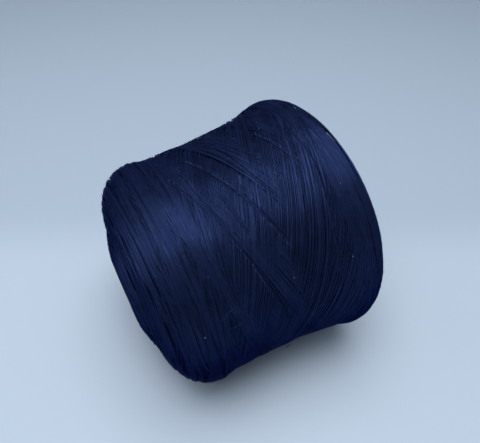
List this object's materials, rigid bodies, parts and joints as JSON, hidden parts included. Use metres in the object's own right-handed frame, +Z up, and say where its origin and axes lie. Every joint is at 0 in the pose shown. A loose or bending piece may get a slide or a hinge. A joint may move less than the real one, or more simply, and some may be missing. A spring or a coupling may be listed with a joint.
{
  "type": "cone of thread",
  "caption": "Large cross-wound cone of navy sewing thread on a hollow tapered plastic tube, lying on its side.",
  "frame": {"origin": "centre of the object's box at the floor it lies on", "axes": "+X along the cone towards its narrow nose, +Y across it, +Z up; the cone lies on its flank, so its own axis dips 4.296 degrees towards +X"},
  "size_m": [0.1715, 0.1666, 0.1657],
  "materials": {
    "tube_plastic": "satin",
    "thread": "satin"
  },
  "bodies": {
    "root": {"cone_tube": "tube_plastic", "thread_body": "thread", "outer_winding": "thread"}
  },
  "joints": []
}
